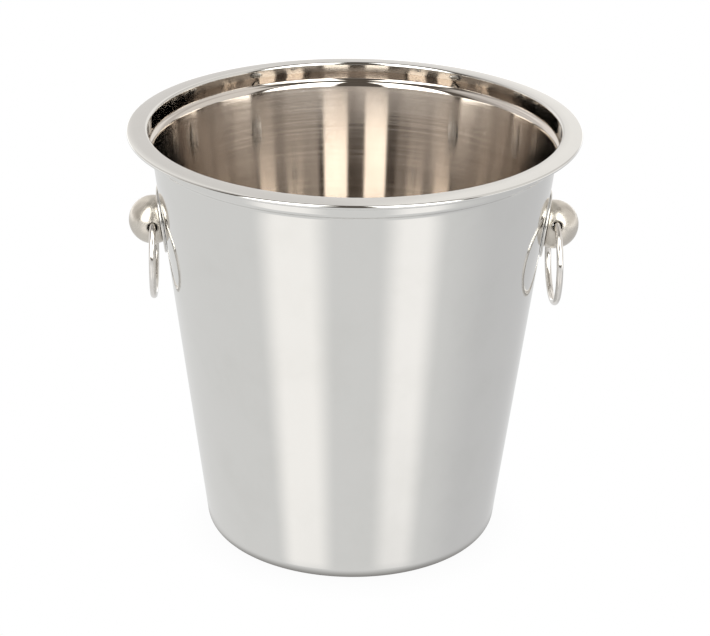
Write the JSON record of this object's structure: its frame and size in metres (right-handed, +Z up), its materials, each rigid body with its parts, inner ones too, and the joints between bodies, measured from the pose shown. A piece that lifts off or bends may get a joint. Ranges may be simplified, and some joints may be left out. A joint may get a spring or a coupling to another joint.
{
  "type": "champagne bucket",
  "caption": "Tapered steel wine cooler with a flat turned-over rim, and a ball knob carrying a loose ring handle on each side.",
  "frame": {"origin": "centre of the foot, on the surface that the bucket stands on", "axes": "+Z up along the bucket's axis, +X through the right-hand knob, -Y towards the viewer with one knob on each side"},
  "size_m": [0.2204, 0.22, 0.211],
  "materials": {
    "polished_steel": "mirror polished outside, fine turned polish inside",
    "satin_steel": "satin",
    "plate_steel": "polished",
    "ring_steel": "polished",
    "fixing_steel": "as turned",
    "seal_rubber": "matt"
  },
  "bodies": {
    "bucket": {"bucket_shell": "polished_steel", "right_knob": "satin_steel", "right_backplate": "plate_steel", "right_stud": "fixing_steel", "right_seal": "seal_rubber", "right_washer": "fixing_steel", "right_dome_nut": "fixing_steel", "left_knob": "satin_steel", "left_backplate": "plate_steel", "left_stud": "fixing_steel", "left_seal": "seal_rubber", "left_washer": "fixing_steel", "left_dome_nut": "fixing_steel"},
    "right_handle": {"right_ring": "ring_steel"},
    "left_handle": {"left_ring": "ring_steel"}
  },
  "joints": [
    {"name": "right_ring_swing", "type": "hinge", "parent": "bucket", "child": "right_handle", "pos_m": [0.09819, 0, 0.161], "axis": [0.0684, -0.9642, 0.2563], "range_deg": [-12, 175]},
    {"name": "left_ring_swing", "type": "hinge", "parent": "bucket", "child": "left_handle", "pos_m": [-0.09819, 0, 0.161], "axis": [-0.0349, 0.9994, 0], "range_deg": [-12, 175]}
  ]
}
